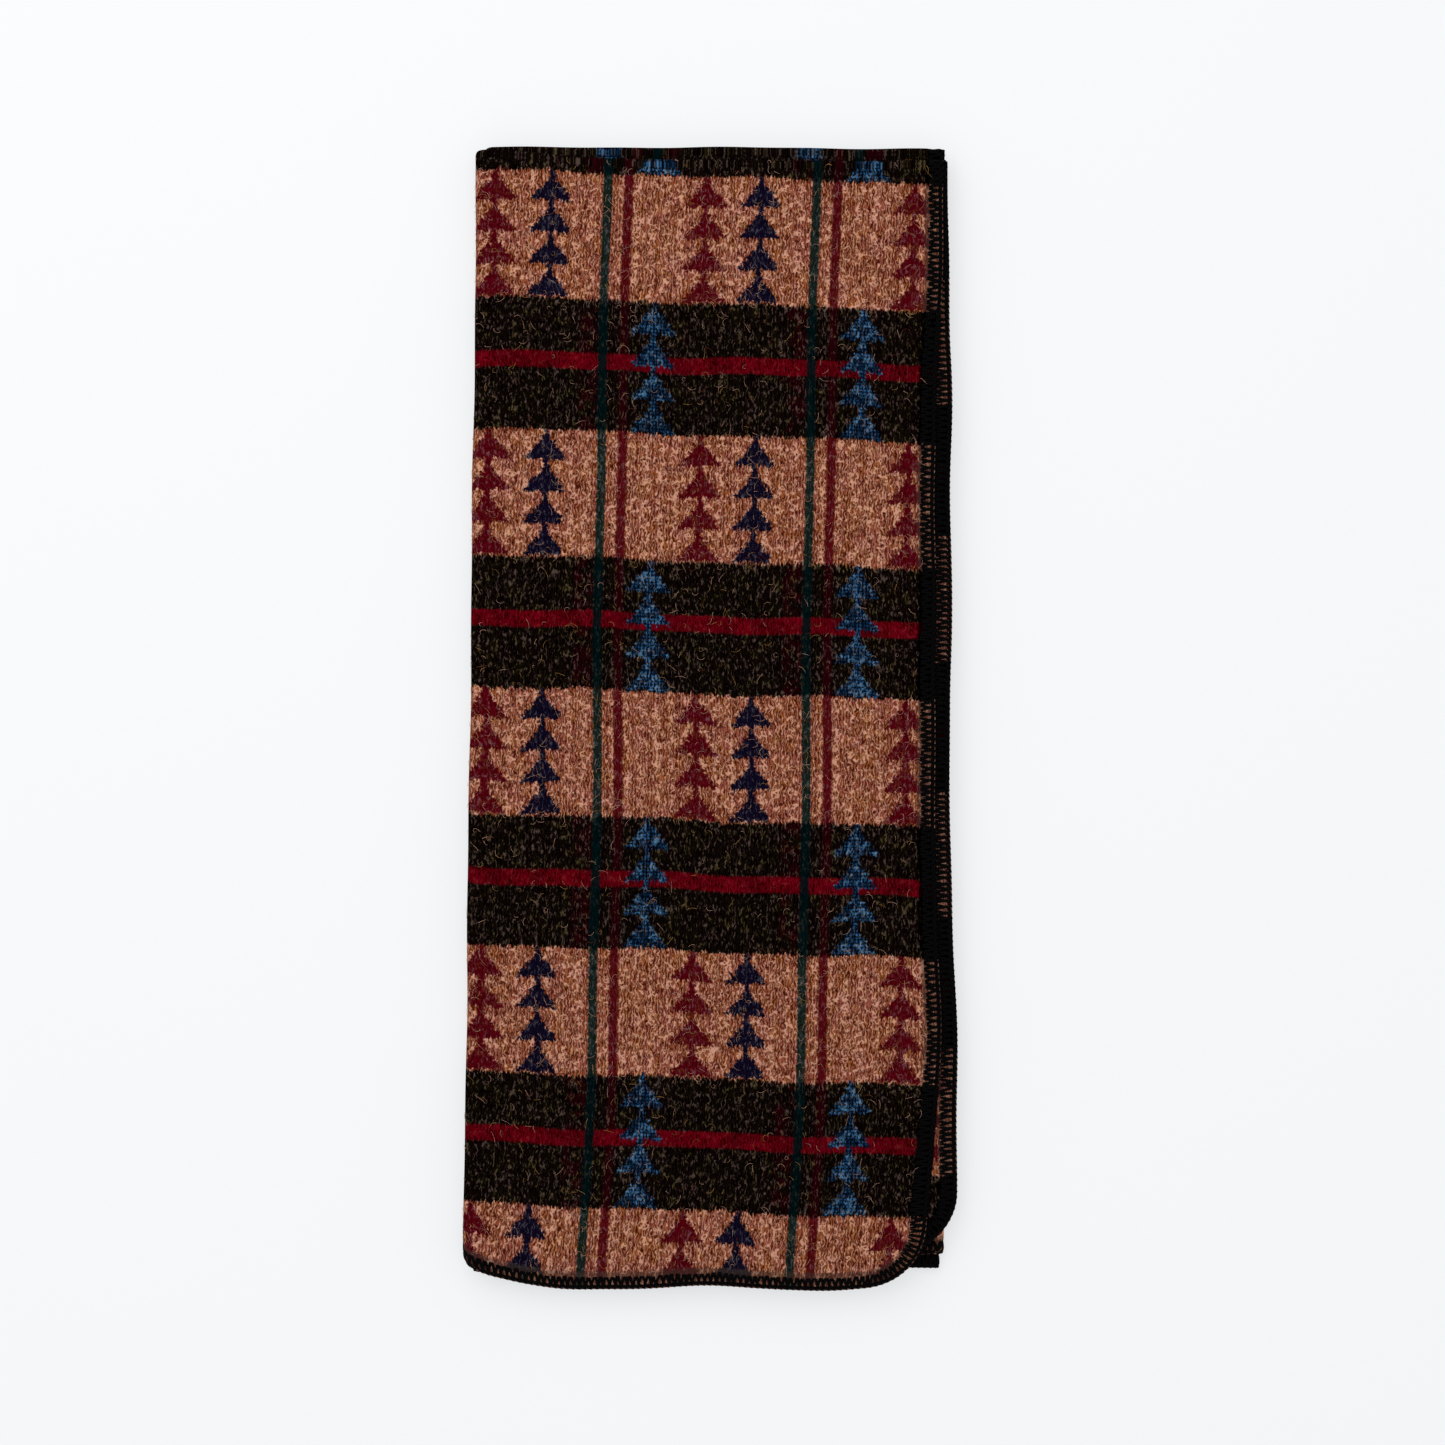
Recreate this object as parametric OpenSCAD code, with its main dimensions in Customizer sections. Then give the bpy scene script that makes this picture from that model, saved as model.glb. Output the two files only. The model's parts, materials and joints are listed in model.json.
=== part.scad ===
// Camp blanket of napped wool, folded three times into eight layers.
// First fold: across the length (the folds at +Y). Second fold: across the width (the centre
// fold, at +X, between the lower four layers). Last fold: at -X, between the upper and the
// lower four layers. Layers are counted from the top, 1 to 8. All sizes are in millimetres.

/* [Blanket opened flat] */
// Width of the whole blanket
flat_w = 1270; // [1100:1:1600]
// Length of the whole blanket
flat_l = 1524; // [1300:1:2000]
// Thickness of the cloth as it lies
cloth_t = 2.8; // [2.4:0.1:4]
// Radius of the blanket's rounded corners
corner_r = 40; // [30:1:90]

/* [Overedge stitching] */
// Depth of the stitches, from the cloth's edge inwards
bite = 11; // [8:0.5:16]
// Thickness of the thread that lies on each face of the cloth
thread_t = 0.35; // [0.2:0.05:0.5]
// Width of the braid of thread along the very edge
braid = 1; // [0.6:0.1:2]

/* [Folding] */
// Air between two neighbouring layers
layer_gap = 0.3; // [0.2:0.05:0.8]
// Air between the upper four and the lower four layers
stack_gap = 0.6; // [0.4:0.1:1.2]
// How far the inner four layers lie towards +Y of the outer four
fold_step = 7; // [0:0.5:15]
// How far the raw side edges stop short of the centre fold
edge_setback = 6; // [0:0.5:15]
// How far the second layer's raw side edge stands out past the top layer's
edge_proud = 16; // [0:0.5:25]

/* [Hidden] */
$fn = 96;

cloth_color = [0.42, 0.25, 0.18];
reverse_color = [0.42, 0.25, 0.18];
thread_color = [0.06, 0.06, 0.07];

// A hair of air beside the last fold, so that the upper stack turns clear of the lower one
hinge_air = 0.3;
// Spare length of a cutter past the solid that it cuts
over = 2;

pitch = cloth_t + layer_gap;
pair_r = cloth_t + layer_gap / 2;
lower_t = 4 * cloth_t + 3 * layer_gap;
stack_t = 2 * lower_t + stack_gap;
centre_r = lower_t / 2;
last_r = stack_t / 2;

// Cloth that each fold takes up is a quarter of a turn at the mean radius of its layers
top_turn = PI / 2 * (pair_r - cloth_t / 2);
side_turn = PI / 2 * (last_r / 2 + centre_r / 2);
panel_l = flat_l / 2 - top_turn;
span = flat_w / 4 - side_turn;

total_l = panel_l + pair_r + fold_step;
total_w = last_r + span + centre_r - edge_setback + edge_proud;
last_x = last_r - total_w / 2;
centre_x = last_x + span;
raw_edge_x = centre_x + centre_r - edge_setback;

function is_upper(k) = k <= 4;
function is_inner(k) = k >= 3 && k <= 6;
function layer_z(k) = is_upper(k) ? stack_t - k * cloth_t - (k - 1) * layer_gap : (8 - k) * pitch;
function hem_y(k) = -total_l / 2 + (is_inner(k) ? fold_step : 0);
function fold_y(k) = hem_y(k) + panel_l;
function start_x(k) = is_upper(k) ? last_x + hinge_air : last_x;
function end_x(k) = !is_upper(k) ? centre_x : k == 2 ? raw_edge_x + edge_proud : raw_edge_x;
// Inner radius of upper layer k where it turns round the last fold
function last_fold_r(k) = stack_gap / 2 + (4 - k) * pitch;

// Outline of layer k, drawn in by inset from its stitched edges and let out by spare elsewhere
module layer_outline(k, inset, spare = 0) {
  x0 = start_x(k) - spare;
  y0 = hem_y(k) + inset;
  y1 = fold_y(k) + spare;
  if (is_upper(k)) {
    x1 = end_x(k) - inset;
    r = corner_r - inset;
    translate([x0, y0 + r]) square([x1 - x0, y1 - y0 - r]);
    translate([x0, y0]) square([x1 - x0 - r, r + over]);
    translate([x1 - r, y0 + r]) circle(r);
  } else {
    x1 = end_x(k) + spare;
    translate([x0, y0]) square([x1 - x0, y1 - y0]);
  }
}

// The cloth under the stitches of layer k, pressed thinner by the thread on both faces
module pressed_edge(k, spare = 0) {
  translate([0, 0, layer_z(k) + thread_t])
    linear_extrude(cloth_t - 2 * thread_t) layer_outline(k, braid, spare);
}

// One flat layer of the cloth
module panel(k) {
  color(k % 2 == 1 ? cloth_color : reverse_color) {
    translate([0, 0, layer_z(k)]) linear_extrude(cloth_t) layer_outline(k, bite);
    pressed_edge(k);
  }
}

// The overedge stitching round the raw edges of layer k
module overedge(k) {
  color(thread_color)
    difference() {
      translate([0, 0, layer_z(k)]) linear_extrude(cloth_t) layer_outline(k, 0);
      translate([0, 0, layer_z(k) - over])
        linear_extrude(cloth_t + 2 * over) layer_outline(k, bite, over);
      pressed_edge(k, over);
    }
}

// Half tube along +X that opens towards -Y, with its axis through the origin
module half_tube(r_in, t, length) {
  rotate([90, 0, 90]) rotate([0, 0, -90])
    rotate_extrude(angle = 180) translate([r_in, 0]) square([t, length]);
}

// Places its children on the axis of the fold between layers k and k + 1, at x
module on_top_fold(k, x) {
  translate([x, fold_y(k), layer_z(k + 1) + pair_r]) children();
}

// The fold that joins layers k and k + 1
module top_fold(k) {
  length = end_x(k) - start_x(k);
  stitched = is_upper(k) ? bite : 0;
  color(cloth_color) {
    on_top_fold(k, start_x(k)) half_tube(layer_gap / 2, cloth_t, length - stitched);
    if (stitched > 0)
      on_top_fold(k, start_x(k))
        half_tube(layer_gap / 2 + thread_t, cloth_t - 2 * thread_t, length - braid);
  }
}

// The stitching at the raw end of the fold that joins layers k and k + 1
module top_fold_overedge(k) {
  color(thread_color)
    difference() {
      on_top_fold(k, end_x(k) - bite) half_tube(layer_gap / 2, cloth_t, bite);
      on_top_fold(k, end_x(k) - bite - over)
        half_tube(layer_gap / 2 + thread_t, cloth_t - 2 * thread_t, bite + over - braid);
    }
}

// Turns a profile, x = radius and y = place along +Y, half round a side fold's axis.
// side is -1 for a fold that bulges towards -X and 1 for one that bulges towards +X.
module turned_sideways(x, z, side) {
  translate([x, 0, z]) rotate([-90, 0, 0]) rotate([0, 0, -90 * side])
    rotate_extrude(angle = 180) children();
}

// Profile of one layer of cloth at radius r, from its hem to the start of its top fold
module layer_profile(r, y0, y1) {
  translate([r, y0 + bite]) square([cloth_t, y1 - y0 - bite]);
  translate([r + thread_t, y0 + braid]) square([cloth_t - 2 * thread_t, bite]);
}

// Profile of two layers and the top fold that joins them, the inner one at radius r
module pair_profile(r, y0, y1) {
  layer_profile(r, y0, y1);
  layer_profile(r + pitch, y0, y1);
  translate([r + pair_r, y1])
    intersection() {
      difference() {
        circle(pair_r);
        circle(layer_gap / 2);
      }
      translate([-pair_r, 0]) square([2 * pair_r, pair_r]);
    }
}

// Profile of the stitches on a hem at radius r
module hem_profile(r, y0) {
  difference() {
    translate([r, y0]) square([cloth_t, bite]);
    translate([r + thread_t, y0 + braid]) square([cloth_t - 2 * thread_t, bite + over]);
  }
}

// Layers 1 and 2 going round the last fold to layers 8 and 7
module last_fold_outer() {
  color(cloth_color)
    turned_sideways(last_x, last_r, -1) pair_profile(last_fold_r(2), hem_y(1), fold_y(1));
}

// Layers 3 and 4 going round the last fold to layers 6 and 5
module last_fold_inner() {
  color(reverse_color)
    turned_sideways(last_x, last_r, -1) pair_profile(last_fold_r(4), hem_y(3), fold_y(3));
}

// The hem stitching of all eight layers, round the last fold
module last_fold_overedge() {
  color(thread_color)
    for (k = [1:4])
      turned_sideways(last_x, last_r, -1) hem_profile(last_fold_r(k), hem_y(k));
}

// The lower stack's layers are half a step apart at the fold that joins them
centre_hem_y = hem_y(8) + fold_step / 2;

// Layers 5 and 6 going round the centre fold to layers 8 and 7
module centre_fold() {
  color(cloth_color)
    turned_sideways(centre_x, centre_r, 1)
      pair_profile(layer_gap / 2, centre_hem_y, centre_hem_y + panel_l);
}

// The hem stitching of layers 5 to 8, round the centre fold
module centre_fold_overedge() {
  color(thread_color)
    for (r = [layer_gap / 2, layer_gap / 2 + pitch])
      turned_sideways(centre_x, centre_r, 1) hem_profile(r, centre_hem_y);
}

panel(1);  // panel_1
panel(2);  // panel_2
panel(3);  // panel_3
panel(4);  // panel_4
panel(5);  // panel_5
panel(6);  // panel_6
panel(7);  // panel_7
panel(8);  // panel_8
top_fold(1);  // top_fold_12
top_fold(3);  // top_fold_34
top_fold(5);  // top_fold_56
top_fold(7);  // top_fold_78
last_fold_outer();
last_fold_inner();
centre_fold();
overedge(1);  // overedge_1
overedge(2);  // overedge_2
overedge(3);  // overedge_3
overedge(4);  // overedge_4
overedge(5);  // overedge_5
overedge(6);  // overedge_6
overedge(7);  // overedge_7
overedge(8);  // overedge_8
top_fold_overedge(1);  // top_fold_overedge_12
top_fold_overedge(3);  // top_fold_overedge_34
last_fold_overedge();
centre_fold_overedge();
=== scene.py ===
"""Looks of the folded camp blanket: the wool cloth, its woven pattern and the overedge stitching.

The blanket is one sheet. A place on it is (u, v, h): u runs across the width from the top layer's raw
side, v along the length from the top layer's hem, and h is the height above the cloth's middle, towards
its face. folded() takes such places to where they lie in the folded blanket, so the cloth, its pattern
and its stitches all fold together. All sizes are in metres unless a name says mm.
"""

import json
import math

import bpy
import numpy as np
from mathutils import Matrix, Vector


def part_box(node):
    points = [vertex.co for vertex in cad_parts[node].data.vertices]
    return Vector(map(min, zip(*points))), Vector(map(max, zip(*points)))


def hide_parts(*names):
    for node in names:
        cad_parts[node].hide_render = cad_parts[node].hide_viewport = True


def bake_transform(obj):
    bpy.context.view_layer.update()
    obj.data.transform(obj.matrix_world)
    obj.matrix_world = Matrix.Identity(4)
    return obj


MM = 0.001
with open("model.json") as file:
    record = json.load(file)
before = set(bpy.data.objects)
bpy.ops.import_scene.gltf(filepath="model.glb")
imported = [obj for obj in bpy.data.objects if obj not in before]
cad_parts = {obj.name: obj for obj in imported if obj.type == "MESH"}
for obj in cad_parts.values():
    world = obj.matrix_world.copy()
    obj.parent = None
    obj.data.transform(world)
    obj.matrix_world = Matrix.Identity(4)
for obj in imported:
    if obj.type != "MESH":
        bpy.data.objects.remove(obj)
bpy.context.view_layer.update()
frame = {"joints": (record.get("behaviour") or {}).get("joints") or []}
rng = np.random.default_rng(12)

# ---------------------------------------------------------------- the blanket's own sizes

FLAT_W = 1.270
FLAT_L = 1.524
CORNER_R = 40 * MM
# How deep the needle goes in from the raw edge
BITE_SIDE = 10.6 * MM
BITE_HEM = 9.0 * MM
STITCHES_CORNERED = 261  # along the hem and the side of a layer that has a rounded corner
STITCHES_PLAIN = 78  # along the hem of a layer that has none

low_1, high_1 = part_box("panel_1")
STACK_T = high_1.z
LOWER_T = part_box("panel_5")[1].z
CLOTH_T = high_1.z - low_1.z
GAP = low_1.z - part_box("panel_2")[1].z
STACK_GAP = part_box("panel_4")[0].z - LOWER_T
PITCH = CLOTH_T + GAP

# The layers lie in pairs, 1 on 2, 3 on 4, 5 on 6 and 7 on 8. A pair turns round each fold as one.
TOP_R = PITCH / 2
AXIS_X, _, AXIS_Z = frame["joints"][0]["pos_m"]
OUTER_R = STACK_T / 2 - PITCH + GAP / 2
INNER_R = STACK_GAP / 2 + PITCH - GAP / 2
CENTRE_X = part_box("centre_fold")[1].x - LOWER_T / 2
CENTRE_Z = LOWER_T / 2
CENTRE_R = PITCH
RAW_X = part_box("overedge_1")[1].x

# Lengths of cloth: from fold to fold, and half of what each fold takes up
QUARTER = FLAT_W / 4
HALF = FLAT_L / 2
TOP_ARC = math.pi / 2 * TOP_R
OUTER_ARC = math.pi / 2 * OUTER_R
CENTRE_ARC = math.pi / 2 * CENTRE_R
INNER_ARC = math.pi / 2 * INNER_R

# ---------------------------------------------------------------- how neatly it was folded


def curve_through(points, s):
    """A smooth curve through the points ((s, value), ...), all in millimetres, read at s in metres."""
    at, value = np.array(points, float).T * MM
    slope = np.gradient(value, at)
    s = np.clip(s, at[0], at[-1])
    i = np.clip(np.searchsorted(at, s) - 1, 0, len(at) - 2)
    step = at[i + 1] - at[i]
    f = (s - at[i]) / step
    return (
        value[i] * (1 + 2 * f) * (1 - f) ** 2
        + value[i + 1] * f * f * (3 - 2 * f)
        + step * f * (1 - f) * (slope[i] * (1 - f) - slope[i + 1] * f)
    )


# Each line below is (place along the width, how far it lies towards +Y), in millimetres
TOP_FOLD_LINE = (
    (0, 375.4), (60, 374.6), (150, 373.9), (245, 375.0), (318, 379.6), (420, 377.4),
    (635, 378), (800, 380.4), (953, 381.5), (1110, 383.2), (1270, 384.0),
)
FRONT_HEM = (
    (0, -380.5), (35, -382), (66, -384.2), (150, -382.5), (215, -385.2), (255, -384.8), (285, -380.2),
    (303, -374.5), (312, -369), (318, -362), (350, -357), (480, -361), (635, -360), (700, -364),
    (800, -369), (953, -373), (1110, -374), (1270, -374),
)
BACK_HEM = (
    (0, -357), (60, -361), (150, -370), (300, -373), (318, -371), (480, -371), (635, -370), (800, -371),
    (953, -375), (1110, -376), (1270, -376),
)
# (place along Y, how far the top layer's raw side lies towards +X of its even line), in millimetres
RAW_WAVER = (
    (-400, -5.5), (-342, -4.0), (-288, 0.0), (-254, 2.3), (-207, 3.5), (-133, 0.6), (-52, -1.6),
    (15, -3.2), (64, -2.8), (163, -4.3), (234, -4.4), (284, -1.9), (320, -1.0), (400, -1.0),
)
# (place along Y, X of the second layer's raw side), in millimetres
PROUD_EDGE = (
    (-400, 166.0), (-316, 166.2), (-288, 165.5), (-227, 164.6), (-133, 160.8), (-60, 158.3), (15, 156.4),
    (60, 157.8), (110, 157.0), (163, 155.9), (234, 155.2), (264, 153.6), (330, 152.4), (400, 151.2),
)
CENTRE_LEAN = 0.0085  # how far the centre fold leans towards -X for each metre towards +Y


def smooth_step(x, start, end):
    """0 before start and 1 after end, with a smooth change between them."""
    f = np.clip((x - start) / (end - start), 0, 1)
    return f * f * (3 - 2 * f)


def settle(x, y, z, first, second):
    """Small dips and wavers of a soft pile. It moves whole neighbourhoods, so no layer meets another."""
    height = z / STACK_T
    dips = (
        0.5
        + 0.22 * np.sin(x * 31 + y * 9 + 0.6)
        + 0.16 * np.sin(y * 23 - x * 17 + 2.1)
        + 0.12 * np.sin(y * 47 + x * 39 + 4.0)
    )
    hem_sink = smooth_step(-y, 0.352, 0.386)
    side_sink = smooth_step(x, 0.13, 0.152)
    new_z = z * (1 - 0.028 * dips - 0.16 * hem_sink - 0.035 * side_sink)
    overhang = smooth_step(-y, 0.373, 0.388)
    new_z = new_z - first * 2.0 * MM * overhang
    new_z = new_z - second * 3.4 * MM * smooth_step(x, 0.154, 0.168)
    waver = 0.55 * np.sin(y * 27 + 1.0) + 0.35 * np.sin(y * 61 + height * 2.0)
    new_x = x + MM * waver * (0.4 + 0.6 * height) * smooth_step(np.abs(x), 0.10, 0.16)
    new_x = new_x - 1.1 * MM * smooth_step(-x, 0.11, 0.16)
    ripple = 0.35 * np.sin(x * 44 + 0.4 + height) + 0.2 * np.sin(x * 97 + 2.0)
    new_y = y + MM * ripple * smooth_step(np.abs(y), 0.33, 0.38)
    return new_x, new_y, new_z


def last_turn_share(u):
    """How far round the last fold a place lies: 0 on the upper four layers, 1 on the lower four."""
    outer = (u - (QUARTER - OUTER_ARC)) / (2 * OUTER_ARC)
    inner = (u - (3 * QUARTER - INNER_ARC)) / (2 * INNER_ARC)
    return np.clip(outer, 0, 1) - np.clip(inner, 0, 1)


def folded(u, v, h):
    """Where places (u, v, h) of the flat blanket lie in the folded one, as an array of points."""
    u, v, h = np.broadcast_arrays(np.asarray(u, float), v, h)
    front = v < HALF
    from_hem = np.where(front, v, FLAT_L - v)
    fold_y = curve_through(TOP_FOLD_LINE, u)
    hem_y = np.where(front, curve_through(FRONT_HEM, u), curve_through(BACK_HEM, u))
    turn = np.clip((v - (HALF - TOP_ARC)) / (2 * TOP_ARC), 0, 1) * math.pi
    reach = np.minimum(from_hem / (HALF - TOP_ARC), 1)
    y = hem_y + (fold_y - hem_y) * reach + (TOP_R + h) * np.sin(turn)
    out = (TOP_R + h) * np.cos(turn)

    raw_x = np.where(front, RAW_X + curve_through(RAW_WAVER, y), curve_through(PROUD_EDGE, y))
    centre_x = CENTRE_X - CENTRE_LEAN * y
    edges = (
        QUARTER - OUTER_ARC, QUARTER + OUTER_ARC, 2 * QUARTER - CENTRE_ARC, 2 * QUARTER + CENTRE_ARC,
        3 * QUARTER - INNER_ARC, 3 * QUARTER + INNER_ARC,
    )
    stretch = np.searchsorted(edges, u)
    outer = (u - edges[0]) / (2 * OUTER_ARC) * math.pi
    centre = (u - edges[2]) / (2 * CENTRE_ARC) * math.pi
    inner = (u - edges[4]) / (2 * INNER_ARC) * math.pi
    first_share = u / edges[0]
    second_share = (u - edges[1]) / (edges[2] - edges[1])
    third_share = (u - edges[3]) / (edges[4] - edges[3])
    fourth_share = (u - edges[5]) / (FLAT_W - edges[5])
    one, nought = np.ones_like(y), np.zeros_like(y)
    x = np.choose(stretch, (
        raw_x + (AXIS_X - raw_x) * first_share,
        AXIS_X - OUTER_R * np.sin(outer),
        AXIS_X + (centre_x - AXIS_X) * second_share,
        centre_x + CENTRE_R * np.sin(centre),
        centre_x + (AXIS_X - centre_x) * third_share,
        AXIS_X - INNER_R * np.sin(inner),
        AXIS_X + (RAW_X - AXIS_X) * fourth_share,
    ))
    z = np.choose(stretch, (
        one * (AXIS_Z + OUTER_R),
        AXIS_Z + OUTER_R * np.cos(outer),
        one * (AXIS_Z - OUTER_R),
        CENTRE_Z - CENTRE_R * np.cos(centre),
        one * (AXIS_Z - INNER_R),
        AXIS_Z - INNER_R * np.cos(inner),
        one * (AXIS_Z + INNER_R),
    ))
    out_x = np.choose(stretch, (
        nought, -np.sin(outer), nought, np.sin(centre), nought, np.sin(inner), nought,
    ))
    out_z = np.choose(stretch, (
        one, np.cos(outer), -one, -np.cos(centre), one, np.cos(inner), -one,
    ))
    first = (u < QUARTER) & front
    second = (u < QUARTER) & ~front
    x, y, z = settle(x + out * out_x, y, z + out * out_z, first, second)
    return np.stack([x, y, z], -1)


def pattern_place(u, v):
    """Where a place lies in the woven pattern, in millimetres: across the columns and down the bands."""
    front = v < HALF
    spot = folded(u, v, 0)
    fold_y = curve_through(TOP_FOLD_LINE, u)
    along = np.where(front, np.minimum(spot[..., 1], fold_y), 2 * fold_y - spot[..., 1])
    along = np.where(np.abs(v - HALF) < TOP_ARC, fold_y + v - HALF, along)
    along = along + 0.10 * np.maximum(-0.326 - along, 0)  # the last band is woven a little looser
    pulled = np.where(front, np.clip(1 - u / QUARTER, 0, 1), 0) * curve_through(RAW_WAVER, spot[..., 1])
    across = RAW_X - u + pulled
    lean = (
        8 * MM * smooth_step(-along, 0.20, 0.42)
        - 3.2 * MM * smooth_step(along, 0.19, 0.37)
        + 0.7 * MM * np.sin(along * 26)
    )
    tilt = 9 * MM * np.tanh((across + 0.08) * 2.5)
    waver = MM * (0.8 * np.sin(across * 41 + 1.2 + along * 7) + 0.5 * np.sin(across * 83 - along * 11))
    return (across + lean) / MM, (along + tilt + waver) / MM


# ---------------------------------------------------------------- the cloth

# How far each side of the cloth sinks, where the stitches press it and at its very edge
PRESSED = 0.55 * MM
ROUNDED = 0.35 * MM


def rounded(u, v):
    """Moves the places of a square grid so that its outer corners follow the blanket's round ones."""
    out_u, out_v = u.copy(), v.copy()
    for corner_u, side_u in ((0, 1), (FLAT_W, -1)):
        for corner_v, side_v in ((0, 1), (FLAT_L, -1)):
            a = 1 - (u - corner_u) * side_u / CORNER_R
            b = 1 - (v - corner_v) * side_v / CORNER_R
            near = (a > 0) & (b > 0)
            a, b = np.clip(a, 0, 1), np.clip(b, 0, 1)
            round_a, round_b = a * np.sqrt(1 - b * b / 2), b * np.sqrt(1 - a * a / 2)
            out_u = np.where(near, corner_u + side_u * CORNER_R * (1 - round_a), out_u)
            out_v = np.where(near, corner_v + side_v * CORNER_R * (1 - round_b), out_v)
    return out_u, out_v


def edge_distance(u, v):
    """How far a place lies from the blanket's nearest raw edge."""
    a, b = np.minimum(u, FLAT_W - u), np.minimum(v, FLAT_L - v)
    corner = CORNER_R - np.hypot(CORNER_R - a, CORNER_R - b)
    return np.where((a < CORNER_R) & (b < CORNER_R), corner, np.minimum(a, b))


def surface_height(u, v):
    """Height of the cloth's face above its middle: the stitches press the edge thinner."""
    distance = edge_distance(u, v)
    pressed = 1 - smooth_step(distance, 0.75 * BITE_HEM, 1.25 * BITE_SIDE)
    rounding = 1 - smooth_step(distance, -0.5 * MM, 2.5 * MM)
    return CLOTH_T / 2 - PRESSED * pressed - ROUNDED * rounding


def spaced(*stops):
    """Grid lines through the stops (place, number of cells up to it from the last one)."""
    lines = [stops[0][0]]
    for (start, _), (end, cells) in zip(stops, stops[1:]):
        lines += [start + (end - start) * (i + 1) / cells for i in range(cells)]
    return np.array(lines)


def grid_across(quarter):
    """Grid lines of one quarter of the width, closer at its folds and its raw edge."""
    start, end = quarter * QUARTER, (quarter + 1) * QUARTER
    arcs = (None, OUTER_ARC, CENTRE_ARC, INNER_ARC, None)
    near, far = arcs[quarter], arcs[quarter + 1]
    head = (start + near, 9) if near else (start + 1.2 * BITE_SIDE, 6)
    tail = (end - far, 84) if far else (end - 1.2 * BITE_SIDE, 84)
    return spaced((start, 0), head, tail, (end, 9 if far else 6))


def grid_along(back):
    """Grid lines of half the length, from the hem to the top fold, or back from it."""
    lines = spaced(
        (0, 0), (1.2 * BITE_SIDE, 6), (HALF - 4 * TOP_ARC, 205), (HALF - TOP_ARC, 4), (HALF, 7),
    )
    return FLAT_L - lines[::-1] if back else lines


def cloth_surface(u, v, side):
    return folded(u, v, side * surface_height(u, v))


def cloth_normals(u, v, side):
    """The surface's own direction at each place, so that two pieces that meet shade as one."""
    step = 0.15 * MM
    along_u = cloth_surface(u + step, v, side) - cloth_surface(u - step, v, side)
    along_v = cloth_surface(u, v + step, side) - cloth_surface(u, v - step, side)
    normal = side * np.cross(along_v, along_u)
    return normal / np.maximum(np.linalg.norm(normal, axis=-1, keepdims=True), 1e-12)


def set_attribute(mesh, name, kind, values):
    field = "vector" if kind == "FLOAT_VECTOR" else "value"
    attribute = mesh.attributes.new(name, kind, "POINT")
    attribute.data.foreach_set(field, np.asarray(values, np.float32).ravel())


def new_piece(name, points, faces, material):
    mesh = bpy.data.meshes.new(name)
    mesh.from_pydata(points, [], faces)
    mesh.materials.append(material)
    mesh.update()
    piece = bpy.data.objects.new(name, mesh)
    bpy.context.scene.collection.objects.link(piece)
    return piece


def hang_on_fold(piece, u):
    """Bakes the piece's place into its mesh and works out each point's share of the way round the last
    fold, which it does not keep.
    """
    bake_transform(piece)
    # Height can't tell the nested layers apart, so the share goes by the place along the cloth instead
    share = last_turn_share(u).astype(np.float32)


def cloth_piece(name, quarter, back, material):
    """One layer of the cloth: its face, its reverse and the rim between them."""
    lines_u, lines_v = grid_across(quarter), grid_along(back)
    count_u, count_v = len(lines_u), len(lines_v)
    u, v = rounded(*np.meshgrid(lines_u, lines_v, indexing="ij"))
    points, normals = [], []
    for side in (1, -1):
        points.append(cloth_surface(u, v, side).reshape(-1, 3))
        normals.append(cloth_normals(u, v, side).reshape(-1, 3))
    index = np.arange(count_u * count_v).reshape(count_u, count_v)
    cells = np.stack([index[:-1, :-1], index[:-1, 1:], index[1:, 1:], index[1:, :-1]], -1)
    cells = cells.reshape(-1, 4)
    under = cells[:, ::-1] + index.size
    ring = np.concatenate([index[:-1, 0], index[-1, :-1], index[:0:-1, -1], index[0, :0:-1]])
    after = np.roll(ring, -1)
    rim = np.stack([ring, after, after + index.size, ring + index.size], -1)
    faces = np.concatenate([cells, under, rim])
    piece = new_piece(name, np.concatenate(points), faces.tolist(), material)
    mesh = piece.data

    across, down = pattern_place(u, v)
    sides = np.repeat([0.0, 1.0], index.size)
    place = np.stack([np.tile(across.ravel(), 2), np.tile(down.ravel(), 2), sides], -1)
    set_attribute(mesh, "pattern", "FLOAT_VECTOR", place)
    set_attribute(mesh, "edge", "FLOAT", np.tile(edge_distance(u, v).ravel() / MM, 2))

    smooth = np.ones(len(faces), bool)
    smooth[-len(rim):] = False
    mesh.polygons.foreach_set("use_smooth", smooth)
    loop_normals = np.concatenate(normals)[faces.ravel()]
    loop_normals[-rim.size:] = 0
    mesh.normals_split_custom_set(loop_normals.tolist())
    hang_on_fold(piece, np.tile(u.ravel(), 2))
    return piece


# ---------------------------------------------------------------- the overedge stitching

# Half widths and half heights of the yarn: in a loop, in a strand of the braid, and packed under it
YARN_W, YARN_H = 0.98 * MM, 0.52 * MM
STRAND_W, STRAND_H = 1.0 * MM, 0.72 * MM
CORE_W, CORE_H = 2.1 * MM, 0.98 * MM
YARN_SIDES = 6
YARN_SUNK = 0.44 * MM  # how far the loops' middle lies under the face of the cloth
RIM = 1.9 * MM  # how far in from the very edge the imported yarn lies
# The braid: how far in its middle lies, how far it swings from that, how high it rises, points per stitch
BRAID_AT, BRAID_SWING, BRAID_RISE = 1.75 * MM, 1.25 * MM, 0.72 * MM
BRAID_STEPS = 5
# How unevenly it was sewn: the spread of the loops' depth, place and openness
DEPTH_SPREAD, DRIFT_SPREAD, OPEN_SPREAD = 0.5 * MM, 0.28 * MM, 0.22
# How many millimetres deeper the side is sewn on the back half, and along part of the front half
DEEPER_BACK, DEEPER_FRONT = 1.6, 2.6


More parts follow.
